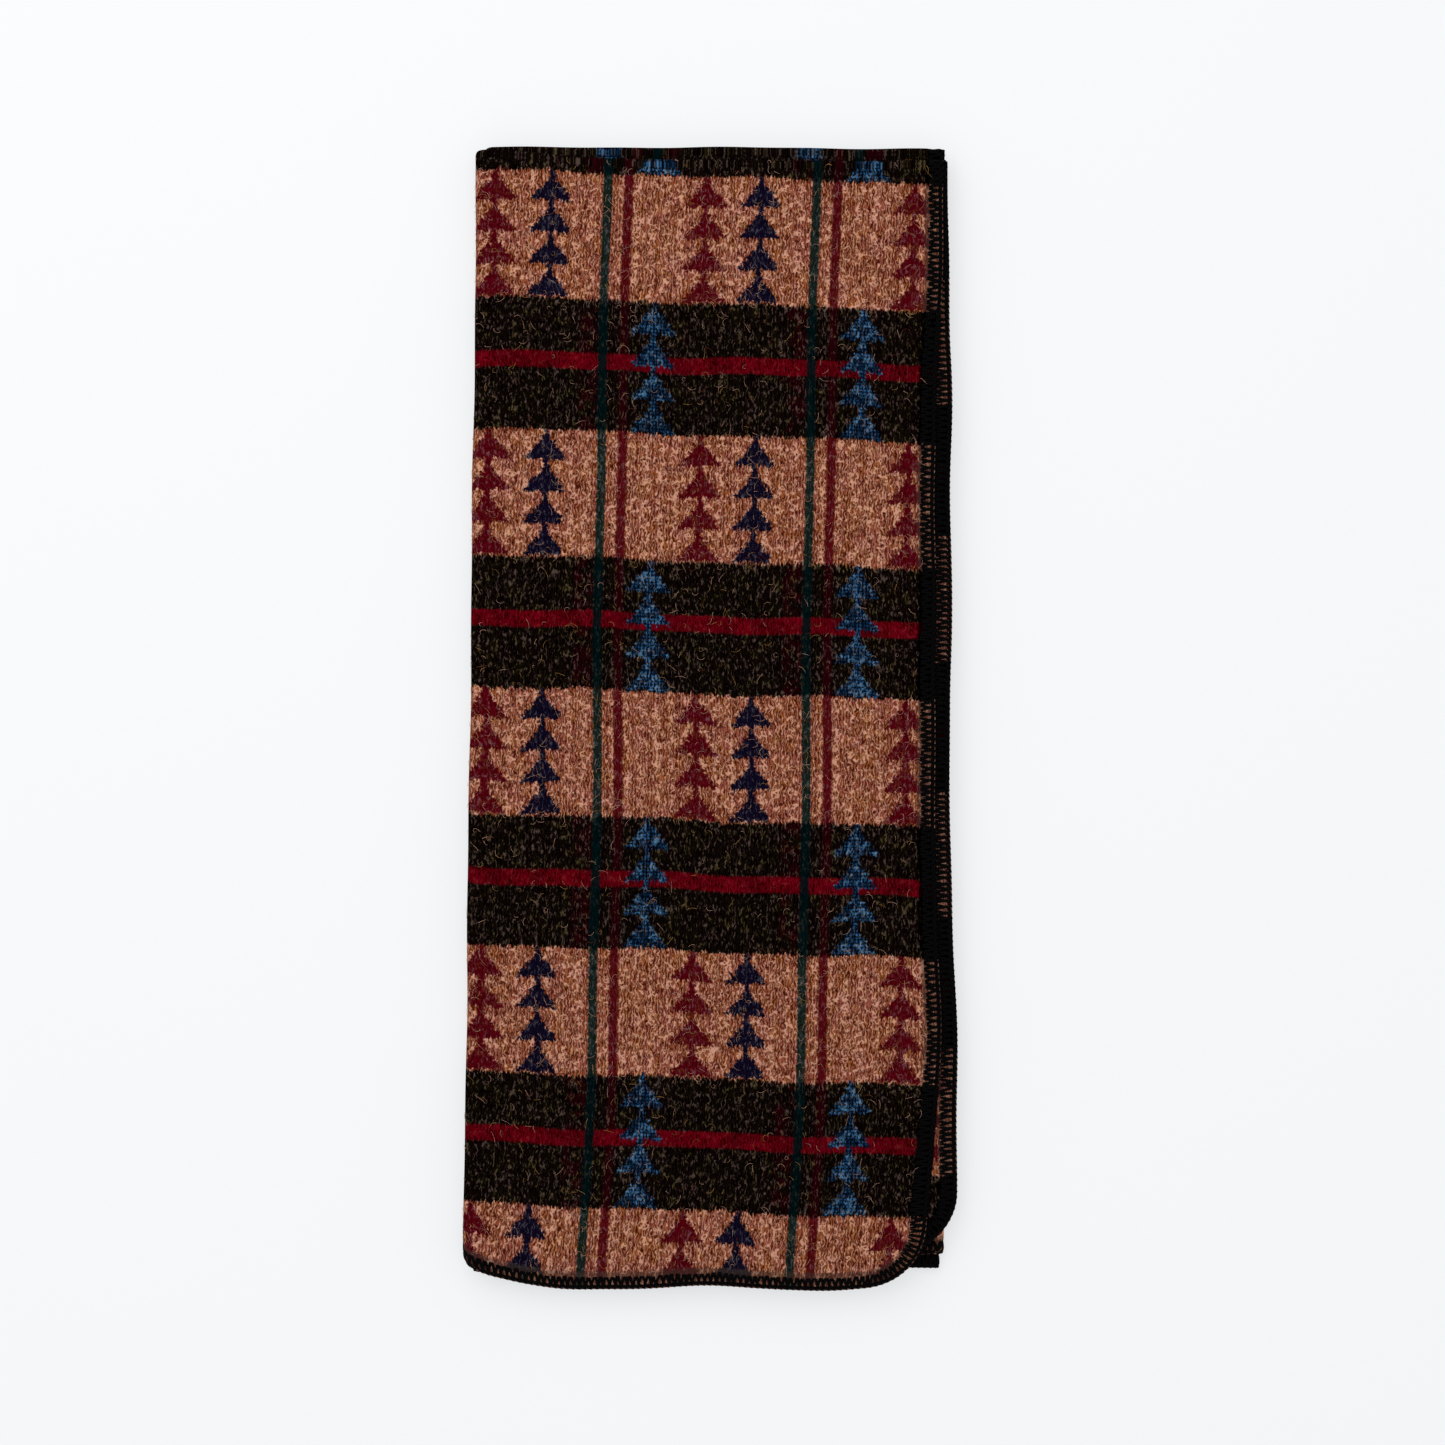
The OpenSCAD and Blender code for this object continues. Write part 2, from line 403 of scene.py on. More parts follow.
def edge_place(quarter, back, s, inward):
    """Flat place of a point that is s along a layer's stitched edge from its fold, and inward from it.

    Outer quarters run along the hem, round their corner and up the side. Inner ones have only the hem.
    """
    hem_v, into = (FLAT_L, -1) if back else (0, 1)
    if quarter in (1, 2):
        start = quarter * QUARTER
        return start + s, hem_v + into * inward + 0 * s
    side_u, inside = (0, 1) if quarter == 0 else (FLAT_W, -1)
    hem_run, arc = QUARTER - CORNER_R, math.pi / 2 * CORNER_R
    turn = np.clip((s - hem_run) / CORNER_R, 0, math.pi / 2)
    reach = CORNER_R - inward
    on_hem = np.minimum(s - hem_run, 0)
    on_side = np.maximum(s - hem_run - arc, 0)
    u = side_u + inside * (CORNER_R - reach * np.sin(turn) - on_hem)
    v = hem_v + into * (CORNER_R - reach * np.cos(turn) + on_side)
    return u, v


def tube_mesh(path, width, height):
    """Rings round a path of points (s, inward, h) in flat space, and the faces that join and close them."""
    tangent = np.gradient(path, axis=0)
    tangent /= np.linalg.norm(tangent, axis=1, keepdims=True)
    across = np.stack([tangent[:, 1], -tangent[:, 0], np.zeros(len(path))], -1)
    across /= np.maximum(np.linalg.norm(across, axis=1, keepdims=True), 1e-9)
    upward = np.cross(tangent, across)
    angle = np.arange(YARN_SIDES) * 2 * math.pi / YARN_SIDES
    rings = (
        path[:, None, :]
        + width * np.cos(angle)[None, :, None] * across[:, None, :]
        + height * np.sin(angle)[None, :, None] * upward[:, None, :]
    )
    count = len(path)
    index = np.arange(count * YARN_SIDES).reshape(count, YARN_SIDES)
    beside = np.roll(index, -1, 1)
    quads = np.stack([index[:-1], beside[:-1], beside[1:], index[1:]], -1).reshape(-1, 4)
    length = np.concatenate([[0], np.cumsum(np.linalg.norm(np.diff(path, axis=0), axis=1))])
    twist = np.stack([
        np.repeat(length / MM, YARN_SIDES), np.tile(np.cos(angle), count), np.tile(np.sin(angle), count),
    ], -1)
    return rings.reshape(-1, 3), quads, [index[0][::-1].tolist(), index[-1].tolist()], twist


def bite_at(s, quarter, back):
    """How deep the needle goes in: less on the hem than on the side, and unevenly, as sewn by hand."""
    if quarter in (1, 2):
        return BITE_HEM + 0 * s
    hem_run = QUARTER - CORNER_R
    on_side = smooth_step(s, hem_run, hem_run + 1.6 * CORNER_R)
    wide_part = 1 - smooth_step(s, hem_run + 0.11, hem_run + 0.19)
    deeper = DEEPER_BACK if back else DEEPER_FRONT * wide_part
    return BITE_HEM + (BITE_SIDE - BITE_HEM + deeper * MM) * on_side


# One half of a loop: (share of the half pitch out from the loop's middle, share of the way in, height)
LOOP = (
    (1.0, 0.0, 0.45), (0.93, 0.10, 0.85), (0.84, 0.24, 1.0), (0.72, 0.40, 1.0), (0.55, 0.56, 1.0),
    (0.42, 0.72, 1.0), (0.34, 0.87, 0.9), (0.20, 0.97, 0.6), (0.0, 1.0, 0.35),
)


def loops_path(quarter, back, stitches, pitch, side):
    """The yarn on one side of the cloth: loop after loop from the edge to the needle line and back."""
    out, way_in, lift = np.array(LOOP).T
    out = np.concatenate([-out, out[-2:0:-1]])
    way_in = np.concatenate([way_in, way_in[-2:0:-1]])
    lift = np.concatenate([lift, lift[-2:0:-1]])
    number = np.repeat(np.arange(stitches), len(out))
    out, way_in, lift = (np.tile(x, stitches) for x in (out, way_in, lift))
    depth = bite_at((number + 0.5) * pitch, quarter, back)
    depth = depth + rng.normal(0, DEPTH_SPREAD, stitches)[number]
    drift = rng.normal(0, DRIFT_SPREAD, stitches)[number]
    open_loop = 1 + rng.normal(0, OPEN_SPREAD, stitches)[number]
    spread = out * (1 + (open_loop - 1) * np.sin(way_in * math.pi))
    s = (number + 0.5 + spread / 2) * pitch + drift * np.sin(way_in * math.pi / 2)
    inward = RIM + (depth - RIM) * way_in
    height = (CLOTH_T / 2 - YARN_SUNK) * lift
    path = np.stack([s, inward, side * height], -1)
    return np.concatenate([path, [[stitches * pitch, RIM, side * height[0]]]])


def braid_path(length, pitch, strand):
    """One of the two strands that lie twisted round the very edge, a bump for every stitch."""
    s = np.linspace(0, length, int(round(length / pitch)) * BRAID_STEPS + 1)
    angle = s / pitch * math.pi + strand * math.pi
    return np.stack([s, BRAID_AT + BRAID_SWING * np.cos(angle), BRAID_RISE * np.sin(angle)], -1)


def core_path(length, pitch):
    """The yarn packed under the braid, which hides the cloth's rim."""
    s = np.linspace(0, length, int(round(length / pitch)) + 1)
    return np.stack([s, RIM + 0 * s, 0 * s], -1)


def stitching_piece(name, quarter, back, material):
    """All the yarn on one layer's raw edges."""
    cornered = quarter in (0, 3)
    length = QUARTER + HALF - (2 - math.pi / 2) * CORNER_R if cornered else QUARTER
    stitches = STITCHES_CORNERED if cornered else STITCHES_PLAIN
    pitch = length / stitches
    paths = [(loops_path(quarter, back, stitches, pitch, side), YARN_W, YARN_H) for side in (1, -1)]
    paths += [(braid_path(length, pitch, strand), STRAND_W, STRAND_H) for strand in (0, 1)]
    paths += [(core_path(length, pitch), CORE_W, CORE_H)]
    points, faces, twists, count = [], [], [], 0
    for path, width, height in paths:
        rings, quads, caps, twist = tube_mesh(path, width, height)
        points.append(rings)
        twists.append(twist)
        faces += (quads + count).tolist() + [[i + count for i in cap] for cap in caps]
        count += len(rings)
    s, inward, h = np.concatenate(points).T
    u, v = edge_place(quarter, back, s, inward)
    piece = new_piece(name, folded(u, v, h), faces, material)
    set_attribute(piece.data, "twist", "FLOAT_VECTOR", np.concatenate(twists))
    piece.data.polygons.foreach_set("use_smooth", np.ones(len(faces), bool))
    hang_on_fold(piece, u)
    return piece


# ---------------------------------------------------------------- loose fibres of the nap

FIBRES = 5600  # scattered over the layer; the dark bands then keep only a share of theirs
KEPT_ON_DARK = 0.25
NAP_MARGIN = 12 * MM
FIBRE_STEPS = 6
FIBRE_SIDES = 3
FIBRE_R = 0.13 * MM
# Shortest and longest fibre, and lowest and highest curl, in millimetres
FIBRE_LENGTH = (3.0, 8.0)
FIBRE_LIFT = (0.15, 0.75)


def nap_piece(name, material):
    """Loose wool fibres that curl over the top layer, more of them on its tan bands."""
    u, v = rng.uniform(0, QUARTER, FIBRES), rng.uniform(0, HALF, FIBRES)
    down = pattern_place(u, v)[1]
    on_tan = np.mod(FIRST_BAND - down, REPEAT) < TAN_BAND
    kept = (on_tan | (rng.random(FIBRES) < KEPT_ON_DARK)) & (edge_distance(u, v) > NAP_MARGIN)
    u, v = u[kept], v[kept]
    count = len(u)
    length = rng.uniform(*FIBRE_LENGTH, count) * MM
    heading = rng.normal(math.pi / 2, 0.75, count) + math.pi * rng.integers(0, 2, count)
    curl = rng.normal(0, 2.2, count)
    lift = rng.uniform(*FIBRE_LIFT, count) * MM
    t = np.linspace(0, 1, FIBRE_STEPS)[:, None]
    angle = heading + curl * t
    step = length / (FIBRE_STEPS - 1)
    line_u = u + np.cumsum(np.cos(angle), 0) * step
    line_v = np.minimum(v + np.cumsum(np.sin(angle), 0) * step, HALF)
    line_u = np.minimum(line_u, QUARTER)
    rise = surface_height(line_u, line_v) + 0.05 * MM + lift * np.sin(t * 2.4)
    radius = FIBRE_R * (1 - 0.6 * t)
    across = np.stack([-np.sin(angle), np.cos(angle)])
    sides = np.arange(FIBRE_SIDES) * 2 * math.pi / FIBRE_SIDES
    ring_u = line_u[..., None] + (radius * across[0])[..., None] * np.cos(sides)
    ring_v = line_v[..., None] + (radius * across[1])[..., None] * np.cos(sides)
    ring_h = rise[..., None] + radius[..., None] * np.sin(sides)
    ring_u, ring_v, ring_h = (np.moveaxis(x, 1, 0).ravel() for x in (ring_u, ring_v, ring_h))
    index = np.arange(count * FIBRE_STEPS * FIBRE_SIDES).reshape(count, FIBRE_STEPS, FIBRE_SIDES)
    beside = np.roll(index, -1, 2)
    quads = np.stack([index[:, :-1], beside[:, :-1], beside[:, 1:], index[:, 1:]], -1)
    faces = quads.reshape(-1, 4).tolist() + index[:, 0, ::-1].tolist() + index[:, -1].tolist()
    piece = new_piece(name, folded(ring_u, ring_v, ring_h), faces, material)
    hue = np.repeat(rng.random(count), FIBRE_STEPS * FIBRE_SIDES)
    set_attribute(piece.data, "hue", "FLOAT", hue)
    piece.data.polygons.foreach_set("use_smooth", np.ones(len(faces), bool))
    hang_on_fold(piece, ring_u)
    return piece


# ---------------------------------------------------------------- materials


def srgb(red, green, blue):
    """A colour as it looks on a screen, 0 to 255, in the linear numbers that shaders use."""
    return tuple(
        ((c / 255 + 0.055) / 1.055) ** 2.4 if c > 10 else c / 255 / 12.92
        for c in (red, green, blue)
    )


def plug(tree, socket, value):
    """Links a field to a socket, or sets the socket to a plain number."""
    if isinstance(value, Field):
        tree.links.new(value.socket, socket)
    else:
        socket.default_value = value


class Field:
    """A number that shader nodes work out over a surface, so that a pattern reads as arithmetic."""

    def __init__(self, tree, socket):
        self.tree, self.socket = tree, socket

    def math(self, operation, *others, clamp=False):
        node = self.tree.nodes.new("ShaderNodeMath")
        node.operation = operation
        node.use_clamp = clamp
        for socket, value in zip(node.inputs, (self, *others)):
            plug(self.tree, socket, value)
        return Field(self.tree, node.outputs[0])

    def __add__(self, other):
        return self.math("ADD", other)

    def __sub__(self, other):
        return self.math("SUBTRACT", other)

    def __mul__(self, other):
        return self.math("MULTIPLY", other)

    def __truediv__(self, other):
        return self.math("DIVIDE", other)

    def flip(self):
        """1 minus this."""
        return self * -1.0 + 1.0

    def wrapped(self, high, low):
        """The same number, moved by whole repeats until it lies from low to high."""
        return self.math("WRAP", high, low)

    def ramp(self, low, high):
        """Smoothly from 0 at low to 1 at high."""
        node = self.tree.nodes.new("ShaderNodeMapRange")
        node.interpolation_type = "SMOOTHSTEP"
        for socket, value in (("Value", self), ("From Min", low), ("From Max", high)):
            plug(self.tree, node.inputs[socket], value)
        return Field(self.tree, node.outputs["Result"])

    def within(self, centre, half_width, soft):
        """1 within half_width of centre, falling to 0 over soft."""
        return ((self - centre).math("ABSOLUTE") - half_width).ramp(soft, -soft)


class Shader:
    """A material that is built from nodes."""

    def __init__(self, name):
        self.material = bpy.data.materials.new(name)
        self.material.use_nodes = True
        self.tree = self.material.node_tree
        self.shader = self.tree.nodes["Principled BSDF"]

    def number(self, name):
        """A piece's own attribute of one number."""
        node = self.tree.nodes.new("ShaderNodeAttribute")
        node.attribute_name = name
        return Field(self.tree, node.outputs["Fac"])

    def attribute(self, name):
        """A piece's own attribute of three numbers."""
        node = self.tree.nodes.new("ShaderNodeAttribute")
        node.attribute_name = name
        split = self.tree.nodes.new("ShaderNodeSeparateXYZ")
        self.tree.links.new(node.outputs["Vector"], split.inputs[0])
        return [Field(self.tree, out) for out in split.outputs]

    def vector(self, x, y, z=0.0):
        node = self.tree.nodes.new("ShaderNodeCombineXYZ")
        for socket, value in zip(node.inputs, (x, y, z)):
            plug(self.tree, socket, value)
        return node.outputs[0]

    def noise(self, place, scale, detail=2.0, roughness=0.5):
        node = self.tree.nodes.new("ShaderNodeTexNoise")
        self.tree.links.new(place, node.inputs["Vector"])
        node.inputs["Scale"].default_value = scale
        node.inputs["Detail"].default_value = detail
        node.inputs["Roughness"].default_value = roughness
        return Field(self.tree, node.outputs[0])

    def strands(self, across, down, far, period, upright):
        """Wavy strands, 1 along the middle of each: straight up if upright is 1, curls if it is 0."""
        bend = self.noise(self.vector(across, down * 0.75, far), 0.30, 1.5)
        turns = across * (upright / period) + bend * (5.0 / period)
        return (turns * (2 * math.pi)).math("SINE") * 0.5 + 0.5

    def mix(self, share, first, second, blend="MIX"):
        """Colour first where share is 0 and second where it is 1. Either may be a colour or a socket."""
        node = self.tree.nodes.new("ShaderNodeMix")
        node.data_type = "RGBA"
        node.blend_type = blend
        plug(self.tree, node.inputs[0], share)
        # A Mix node takes its two colours on sockets 6 and 7, and gives its colour on socket 2
        for socket, value in ((node.inputs[6], first), (node.inputs[7], second)):
            if isinstance(value, tuple):
                socket.default_value = (*value, 1)
            else:
                self.tree.links.new(value, socket)
        return node.outputs[2]

    def bump(self, height, strength, distance):
        node = self.tree.nodes.new("ShaderNodeBump")
        node.inputs["Strength"].default_value = strength
        node.inputs["Distance"].default_value = distance
        self.tree.links.new(height.socket, node.inputs["Height"])
        self.tree.links.new(node.outputs[0], self.shader.inputs["Normal"])

    def link(self, socket_name, value):
        socket = value.socket if isinstance(value, Field) else value
        self.tree.links.new(socket, self.shader.inputs[socket_name])

    def constant(self, socket_name, value):
        self.shader.inputs[socket_name].default_value = value


# The woven pattern repeats every COLUMN across and every REPEAT down, all in millimetres.
# Down from the foot of a dark band come a tan band and then a dark one. Stripes and trees are placed
# from a green stripe, and the crimson line from the top of the tan band above it.
COLUMN = 140.6
REPEAT = 173.9
TAN_BAND = 85.2
FIRST_STRIPE = -80.2
FIRST_BAND = 366.6
CRIMSON_AT, CRIMSON_HALF = 127.0, 5.5
STRIPE_HALF = 3.1
BURGUNDY_STRIPE = 14.0
WIDE_STRIPE, WIDE_HALF = -9.6, 6.5
BLUE_TREES = 34.3
BURGUNDY_TREES = 66.6
NAVY_TREES = 103.6
BRANCH_HALF = 14.0
STEM_HALF = 1.9
BRANCHES = 4  # in one band
BRANCH_TIP, BRANCH_FOOT, BRANCH_STEPS = 0.19, 0.93, 5.0
BRANCH_DROOP = 0.005
COLUMN_START = -25.0  # where a column's coordinate starts, well clear of its first stripe

# Fibre strands: (their period in mm, how upright they are)
NAP = ((1.8, 0.85), (2.0, 0.2), (1.7, 0.8))
WEAVE = 2.4  # from one warp yarn to the next

TAN, TAN_PINK, TAN_GOLD = srgb(135, 71, 46), srgb(136, 69, 54), srgb(141, 77, 35)
DARK, DARK_OLIVE = srgb(13, 6, 5), srgb(16, 11, 5)
CRIMSON, CRIMSON_DULL = srgb(103, 1, 17), srgb(80, 1, 11)
GREEN_ON_TAN, GREEN_ON_DARK = srgb(3, 32, 28), srgb(1, 18, 20)
BURGUNDY_ON_TAN, BURGUNDY_ON_DARK = srgb(80, 1, 13), srgb(36, 2, 7)
NAVY = srgb(4, 7, 30)
BLUE, BLUE_DEEP = srgb(34, 76, 118), srgb(2, 7, 19)
# Multiplied into the gaps between the nap's strands as painted shade
GAP_SHADE_TINT = (0.15, 0.05, 0.03)
FIBRE_ON_TAN = (0.32, 0.215, 0.155)
FIBRE_ON_MOTIF = (0.048, 0.044, 0.048)
FIBRE_PALE, FIBRE_OLIVE = (0.085, 0.056, 0.045), (0.080, 0.060, 0.018)
BLUE_FIBRE = (0.04, 0.09, 0.13)
# Painted shade on the tan cloth under the overedge yarn
UNDER_YARN_SHADE = srgb(58, 46, 40)


def tree_rows(down, band_height):
    """Place within one branch of a tree, from 0 at its tip to 1 at the next one's."""
    return (down / (band_height / BRANCHES)).wrapped(1.0, 0.0)


def tree(across, centre, rows):
    """A column of stepped branches on a stem."""
    distance = (across - centre).math("ABSOLUTE")
    drooped = rows - distance * BRANCH_DROOP
    steps = ((drooped - BRANCH_TIP) * 7.0).math("CEIL") / BRANCH_STEPS
    inside = drooped.ramp(BRANCH_FOOT, 0.90)
    half = steps.math("MAXIMUM", 0.0) * inside * BRANCH_HALF
    half = half.math("MAXIMUM", STEM_HALF)
    return (distance - half).ramp(0.7, -0.7)


def wool_material():
    """Woven wool with a raised nap. Bands, stripes and trees come from the pattern attribute."""
    m = Shader("wool")
    across, down, reverse = m.attribute("pattern")
    far = reverse * 40.0
    plain = m.vector(across, down, far)

    # Fibres that cross the borders of the colours make them ragged
    upright = m.vector(across * 1.1, down * 0.3, far + 3.0)
    level = m.vector(across * 0.4, down * 1.0, far + 9.0)
    frayed = (m.noise(upright, 0.62, 2.0) - 0.5) * 9.0
    stepped = (m.noise(level, 0.5, 2.0) - 0.5) * 6.0
    column_end = COLUMN + COLUMN_START
    column = (across + stepped - FIRST_STRIPE).wrapped(column_end, COLUMN_START)
    stripe_column = (across + stepped * 0.45 - FIRST_STRIPE).wrapped(column_end, COLUMN_START)
    row = ((down + frayed) * -1.0 + FIRST_BAND).wrapped(REPEAT, 0.0)
    clean_row = ((down + frayed * 0.35) * -1.0 + FIRST_BAND).wrapped(REPEAT, 0.0)

    # Nap: fibres lie in wavy strands, pale where they stand up, with painted shade in the gaps between them
    nap = [
        m.strands(across, down, far + 17.0 * i, period, upright)
        for i, (period, upright) in enumerate(NAP)
    ]
    tufts = m.noise(m.vector(across, down * 0.55, far + 20.0), 0.46, 2.0, 0.6)
    clumps = m.noise(m.vector(across, down, far + 60.0), 0.19, 2.0, 0.6)
    light = nap[0].ramp(0.62, 0.96) * tufts.ramp(0.40, 0.60)
    light = light.math("MAXIMUM", nap[1].ramp(0.66, 0.97) * clumps.ramp(0.42, 0.56))
    shaded_gap = nap[2].ramp(0.40, 0.06) * tufts.ramp(0.62, 0.42)
    shaded_gap = shaded_gap.math("MAXIMUM", nap[0].ramp(0.26, 0.02) * clumps.ramp(0.60, 0.44)) * light.flip()

    tan = row.within(TAN_BAND / 2, TAN_BAND / 2, 0.9)
    drift = m.noise(plain, 0.045, 3.0, 0.6)
    hue = m.noise(m.vector(across, down * 0.7, far + 90.0), 0.16, 3.0, 0.6)
    tan_colour = m.mix(drift.ramp(0.38, 0.62), TAN, TAN_PINK)
    tan_colour = m.mix(hue.ramp(0.47, 0.66) * 0.8, tan_colour, TAN_GOLD)
    dark_colour = m.mix(hue.ramp(0.44, 0.64) * 0.8, DARK, DARK_OLIVE)
    colour = m.mix(tan, dark_colour, tan_colour)

    wide = column.within(WIDE_STRIPE, WIDE_HALF, 1.6) * tan.flip()
    patchy = m.noise(m.vector(across, down, far + 33.0), 0.11, 2.0).ramp(0.38, 0.60)
    colour = m.mix(wide * patchy * 0.85, colour, BURGUNDY_ON_DARK)
    crimson = clean_row.within(CRIMSON_AT, CRIMSON_HALF, 0.9)
    colour = m.mix(crimson, colour, m.mix(drift.ramp(0.35, 0.65), CRIMSON, CRIMSON_DULL))

    tan_rows = tree_rows(row, TAN_BAND)
    dark_rows = tree_rows(row - TAN_BAND, REPEAT - TAN_BAND)
    navy = tree(column, NAVY_TREES, tan_rows) * tan
    burgundy_tree = tree(column, BURGUNDY_TREES, tan_rows) * tan
    blue = tree(column, BLUE_TREES, dark_rows) * tan.flip()
    bent = across + (clumps - 0.5) * 3.0
    warp = (bent * (2 * math.pi / WEAVE)).math("SINE") * 0.5 + 0.5
    weft = ((down + (tufts - 0.5) * 1.5) * (2 * math.pi / WEAVE)).math("SINE") * 0.5 + 0.5
    grid = warp * weft
    colour = m.mix(burgundy_tree * (clumps.ramp(0.32, 0.46) * 0.18 + 0.81), colour, BURGUNDY_ON_TAN)
    colour = m.mix(navy * 0.985, colour, NAVY)
    blue_share = grid.ramp(0.06, 0.55) * (clumps.ramp(0.36, 0.58) * 0.8 + 0.2)
    colour = m.mix(blue * (blue_share * 0.92 + 0.08), m.mix(blue, colour, BLUE_DEEP), BLUE)

    burgundy = stripe_column.within(BURGUNDY_STRIPE, STRIPE_HALF, 0.8)
    stripe_colour = m.mix(tan, BURGUNDY_ON_DARK, BURGUNDY_ON_TAN)
    colour = m.mix(burgundy * crimson.flip() * 0.95, colour, stripe_colour)
    green = stripe_column.within(0.0, STRIPE_HALF, 0.8)
    green_colour = m.mix(tan, GREEN_ON_DARK, GREEN_ON_TAN)
    colour = m.mix(green * 0.97, colour, green_colour)

    # The painted shade in the gaps is deeper in the tan, and the fibres that stand up are paler there
    motif = (navy + burgundy_tree + burgundy + green).math("MINIMUM", 1.0)
    # Painted shade: the gaps between the strands are darkened
    colour = m.mix(shaded_gap * (motif * -0.35 + 0.95), colour, GAP_SHADE_TINT, "MULTIPLY")
    on_tan = tan * motif.flip()
    near_tan = (row - TAN_BAND / 2).math("ABSOLUTE").ramp(TAN_BAND / 2 + 7.0, TAN_BAND / 2)
    on_dark = tan.flip() * (near_tan * 0.9 + 0.8)
    on_dark = on_dark * (crimson * -0.8 + 1.0) * (green * -0.75 + 1.0)
    colour = m.mix(light * on_tan, colour, FIBRE_ON_TAN, "ADD")
    motif_light = light * motif * tan * tufts.ramp(0.44, 0.66)
    colour = m.mix(motif_light, colour, FIBRE_ON_MOTIF, "ADD")
    dark_fibre = m.mix(hue.ramp(0.46, 0.64) * 0.85, FIBRE_PALE, FIBRE_OLIVE)
    dark_light = light * on_dark * tufts.ramp(0.46, 0.66)
    colour = m.mix(dark_light, colour, dark_fibre, "ADD")
    colour = m.mix(light * blue * clumps.ramp(0.45, 0.6), colour, BLUE_FIBRE, "ADD")

    # The stitches press the nap flat, and painted shade under the yarn and between the layers darkens the
    # cloth towards its edge, down to black on the dark bands
    edge = m.number("edge")
    # The darkening in this zone is painted shade, strongest on the dark bands
    stitched = (edge + (tufts - 0.5) * 4.0).ramp(13.5, 11.0)
    shade_depth = tan.flip() * 0.35 + 0.60
    colour = m.mix(stitched * shade_depth, colour, m.mix(tan, (0.0, 0.0, 0.0), UNDER_YARN_SHADE))

    m.link("Base Color", colour)
    m.constant("Roughness", 0.92)
    m.constant("Specular IOR Level", 0.0)
    relief = light * 0.8 - shaded_gap * 0.6 + grid * 0.25 + nap[1] * 0.2
    m.bump(relief, 0.7, 0.8 * MM)
    return m.material


def yarn_material():
    """Near-black overedge yarn of two plies, a little glossier than the wool."""
    m = Shader("overedge_yarn")
    along, cosine, sine = m.attribute("twist")
    turn = along * (2 * math.pi / 1.9)
    ply = (turn.math("SINE") * cosine + turn.math("COSINE") * sine) * 0.5 + 0.5
    hair = m.noise(m.vector(along * 2.5, cosine * 1.5, sine * 1.5), 1.6, 3.0, 0.6)
    # The ply crests are painted a little lighter and the grooves between them darker, as painted highlight
    # and shade; the hair noise is the yarn's own uneven tone
    shade = ply * 0.55 + hair * 0.6
    colour = m.mix(shade.ramp(0.3, 0.95), srgb(0, 0, 0), srgb(9, 8, 10))
    m.link("Base Color", colour)
    m.link("Roughness", hair * 0.2 + 0.62)
    m.constant("Specular IOR Level", 0.03)
    m.bump(shade, 0.6, 0.25 * MM)
    return m.material


def fibre_material():
    """Single wool fibres: mostly cream, some gold, some brown."""
    m = Shader("loose_fibre")
    hue = m.number("hue")
    colour = m.mix(hue.ramp(0.5, 0.6), srgb(196, 150, 128), srgb(170, 128, 70))
    colour = m.mix(hue.ramp(0.78, 0.84), colour, srgb(110, 56, 38))
    m.link("Base Color", colour)
    m.constant("Roughness", 0.8)
    m.constant("Specular IOR Level", 0.0)
    return m.material


# ---------------------------------------------------------------- the pieces

wool = wool_material()
yarn = yarn_material()
loose_fibres = nap_piece("nap_1", fibre_material())
# (layer from the top, quarter of the width, whether it is on the back half of the length)
LAYERS = (
    (1, 0, False), (2, 0, True), (3, 3, True), (4, 3, False),
    (5, 2, False), (6, 2, True), (7, 1, True), (8, 1, False),
)
STANDS_FOR = {
    1: ("top_fold_12",), 2: (), 3: ("top_fold_34",), 4: (), 5: ("last_fold_inner", "top_fold_56"),
    6: ("centre_fold",), 7: ("top_fold_78",), 8: ("last_fold_outer",),
}
STITCHES_STAND_FOR = {
    1: ("top_fold_overedge_12",), 2: (), 3: ("top_fold_overedge_34",), 4: (), 5: ("last_fold_overedge",),
    6: (), 7: (), 8: ("centre_fold_overedge",),
}
for number, quarter, back in LAYERS:
    cloth = cloth_piece(f"cloth_{number}", quarter, back, wool)
    stitching = stitching_piece(f"stitching_{number}", quarter, back, yarn)
    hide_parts(f"panel_{number}", *STANDS_FOR[number])
    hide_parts(f"overedge_{number}", *STITCHES_STAND_FOR[number])

# ---------------------------------------------------------------- floor, light and camera

FLOOR_HALF = 4.0
VIEW_WIDTH = 0.9726  # that the camera sees at the height of the top layer


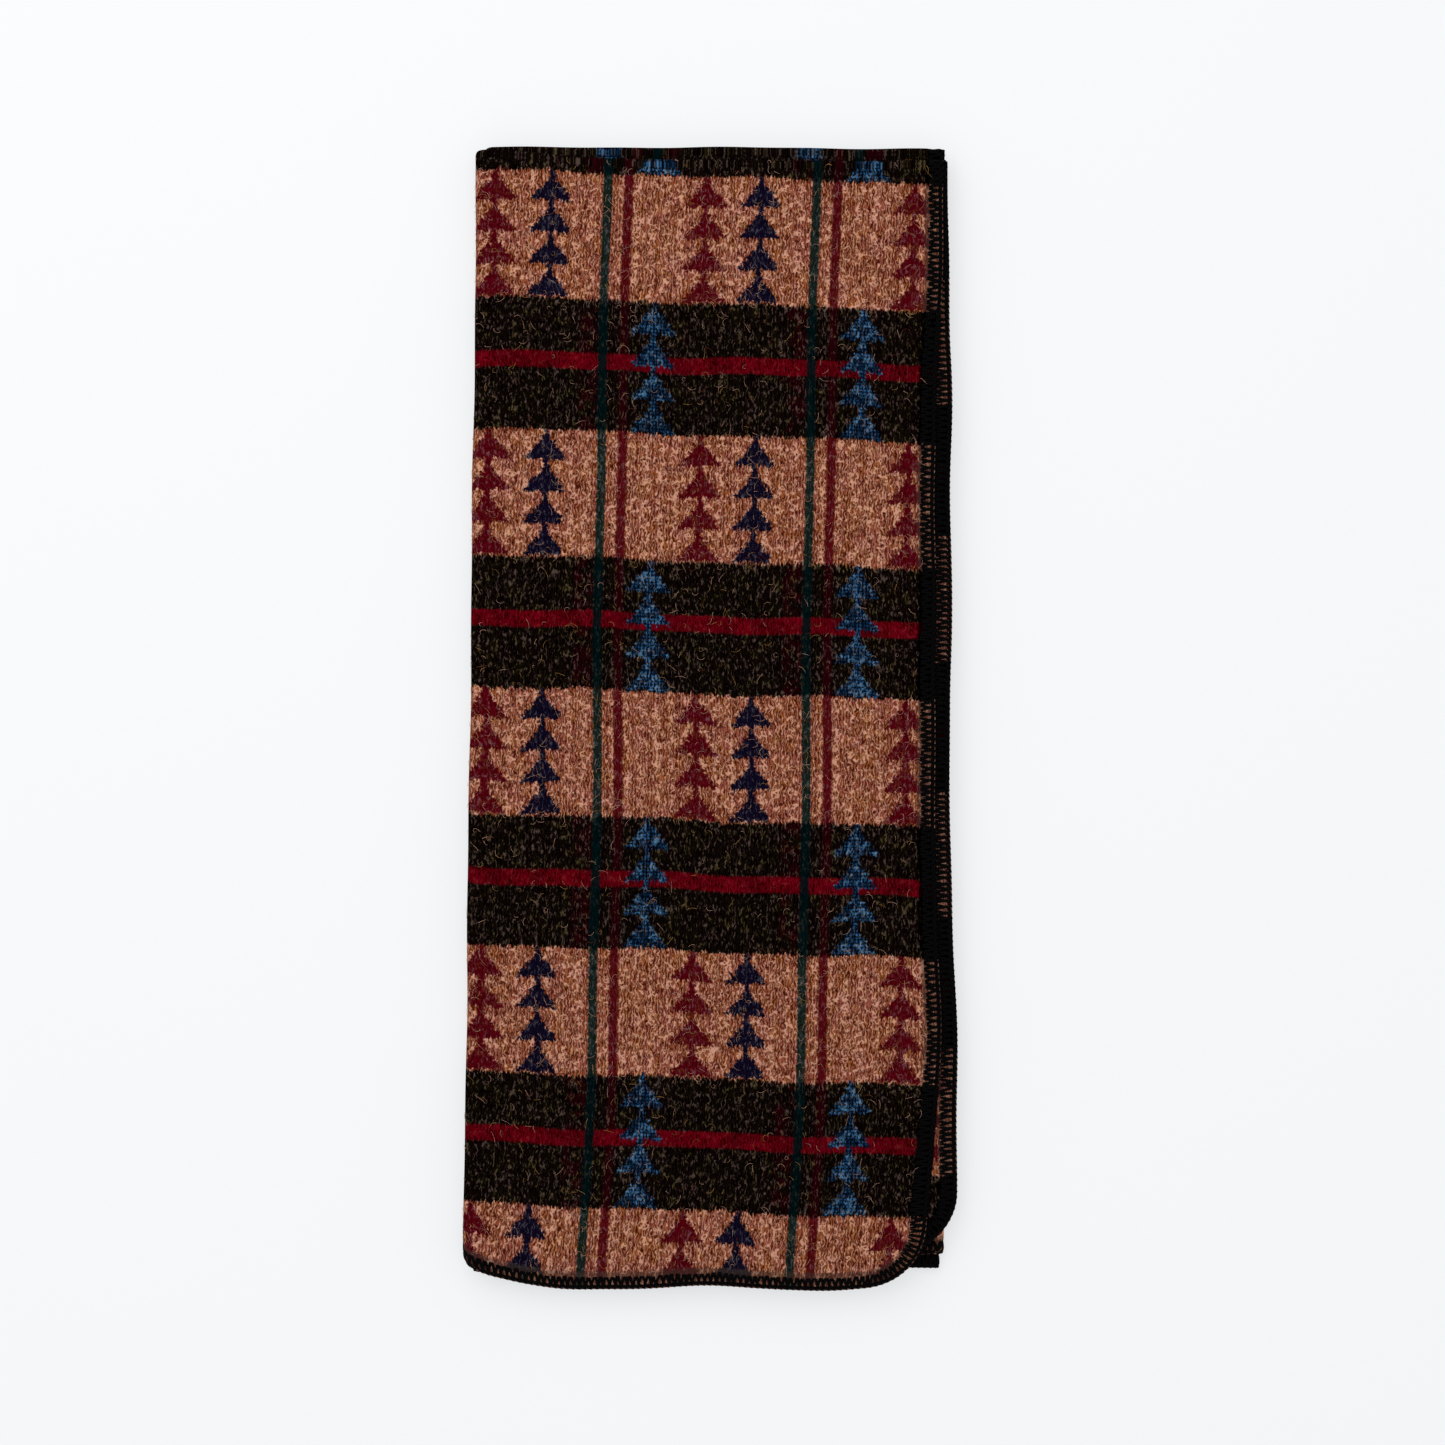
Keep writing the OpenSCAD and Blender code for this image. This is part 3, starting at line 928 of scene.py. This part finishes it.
def plain_material(name, colour, roughness):
    m = Shader(name)
    m.constant("Base Color", (*colour, 1))
    m.constant("Roughness", roughness)
    m.constant("Specular IOR Level", 0.1)
    return m.material


def make_floor():
    corners = [(x * FLOOR_HALF, y * FLOOR_HALF, 0) for x, y in ((-1, -1), (1, -1), (1, 1), (-1, 1))]
    mesh = bpy.data.meshes.new("floor")
    mesh.from_pydata(corners, [], [(0, 1, 2, 3)])
    paper = plain_material("floor", (0.31, 0.315, 0.32), 0.9)
    shader = paper.node_tree.nodes["Principled BSDF"]
    shader.inputs["Emission Color"].default_value = (0.975, 0.988, 1.0, 1)
    shader.inputs["Emission Strength"].default_value = 0.625
    mesh.materials.append(paper)
    floor = bpy.data.objects.new("floor", mesh)
    floor.location.z = -0.2 * MM
    bpy.context.scene.collection.objects.link(floor)


def area_light(name, place, target, size, power):
    data = bpy.data.lights.new(name, "AREA")
    data.size = size
    data.energy = power
    lamp = bpy.data.objects.new(name, data)
    lamp.location = place
    toward = Vector(target) - Vector(place)
    lamp.rotation_euler = toward.to_track_quat("-Z", "Y").to_euler()
    bpy.context.scene.collection.objects.link(lamp)


def make_light():
    world = bpy.data.worlds.new("studio")
    world.use_nodes = True
    background = world.node_tree.nodes["Background"]
    background.inputs["Color"].default_value = (0.97, 0.985, 1.0, 1)
    background.inputs["Strength"].default_value = 0.745
    bpy.context.scene.world = world
    area_light("window", (-0.7, 1.2, 2.1), (-0.1, 0.1, 0), 2.2, 28)
    bpy.context.scene.view_settings.view_transform = "Standard"


def make_camera():
    """Straight above the blanket, which lies turned a little clockwise in its view."""
    data = bpy.data.cameras.new("camera")
    data.lens, data.sensor_width = 100, 36
    camera = bpy.data.objects.new("camera", data)
    distance = VIEW_WIDTH * data.lens / data.sensor_width
    camera.location = (4.0 * MM, -2.2 * MM, STACK_T + distance)
    camera.rotation_euler = (0, 0, math.radians(0.69))
    bpy.context.scene.collection.objects.link(camera)
    bpy.context.scene.camera = camera


make_floor()
make_light()
make_camera()
